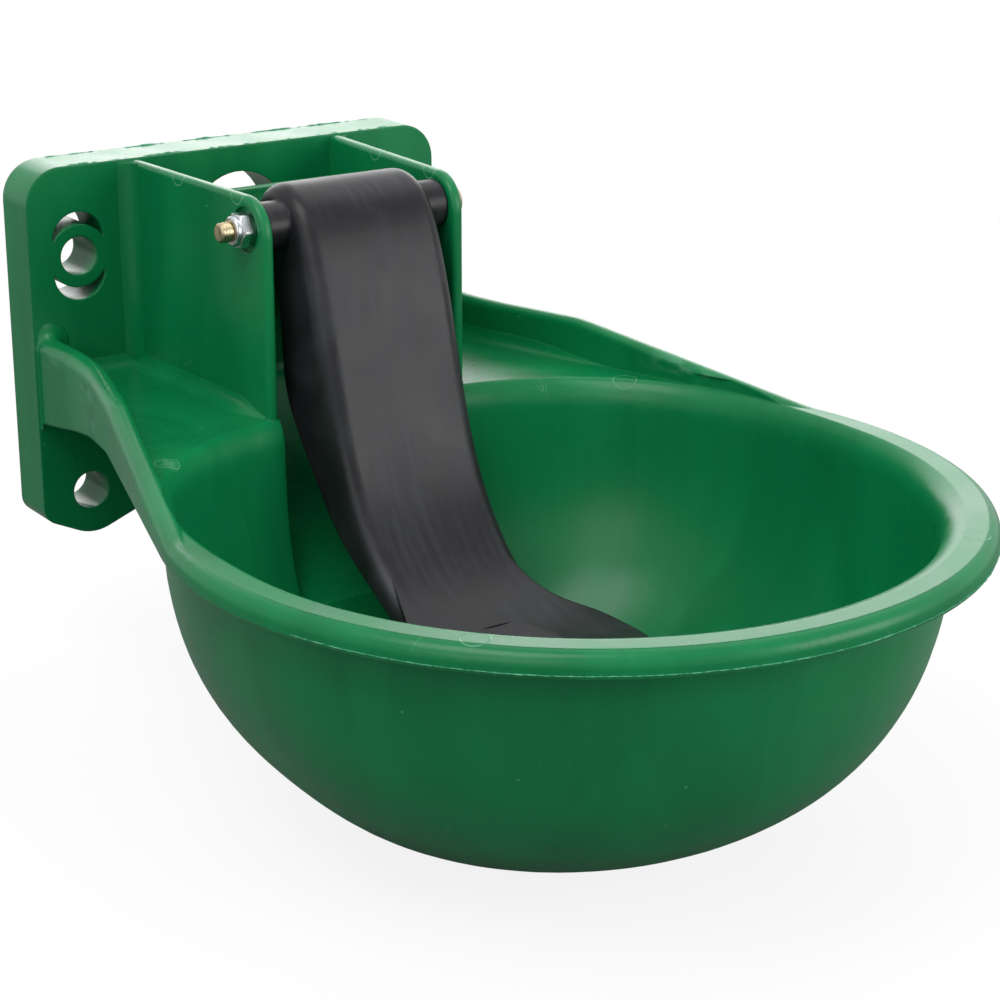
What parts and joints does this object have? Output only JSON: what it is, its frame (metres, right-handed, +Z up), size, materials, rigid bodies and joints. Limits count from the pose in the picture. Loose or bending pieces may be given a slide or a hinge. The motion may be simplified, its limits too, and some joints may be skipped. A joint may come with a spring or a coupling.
{
  "type": "livestock drinking bowl",
  "caption": "Wall-mounted plastic drinking bowl for livestock with a hinged tongue that opens a spring-loaded water valve.",
  "frame": {"origin": "centre of the four wall-bolt holes on the rear mounting face", "axes": "+X to the right seen from the front, +Y out of the back into the wall, +Z up; the bowl reaches towards -Y"},
  "size_m": [0.23, 0.322, 0.165],
  "materials": {
    "green_plastic": "semi-gloss moulded",
    "black_plastic": "satin, cloudy",
    "yellow_zinc": "yellow zinc plated",
    "bright_zinc": "bright zinc plated",
    "nylon": "moulded",
    "brass": "turned",
    "rubber": "moulded",
    "stainless": "plain",
    "acetal": "moulded"
  },
  "bodies": {
    "housing": {"bowl_body": "green_plastic", "pivot_bolt": "yellow_zinc", "pivot_nut": "bright_zinc", "nut_ring": "nylon", "valve_body": "brass", "valve_gasket": "rubber", "valve_washer": "stainless", "valve_locknut": "brass", "seat_insert": "acetal", "valve_spring": "stainless", "spring_plug": "brass", "inlet_strainer": "acetal"},
    "tongue": {"paddle": "black_plastic"},
    "plunger": {"valve_stem": "brass", "stem_seal": "rubber"}
  },
  "joints": [
    {"name": "paddle_pivot", "type": "hinge", "parent": "housing", "child": "tongue", "pos_m": [0, -0.0868, 0.0575], "axis": [1, 0, 0], "range_deg": [0, 11]},
    {"name": "stem_slide", "type": "slide", "parent": "housing", "child": "plunger", "axis": [0, 1, 0], "range_m": [0, 0.0032], "stiffness_N_per_m": 800, "springref_m": -0.006, "deforming": ["valve_spring"]}
  ],
  "couplings": [
    {"joint": "stem_slide", "follows": "paddle_pivot", "m_per_rad": 0.0165}
  ]
}
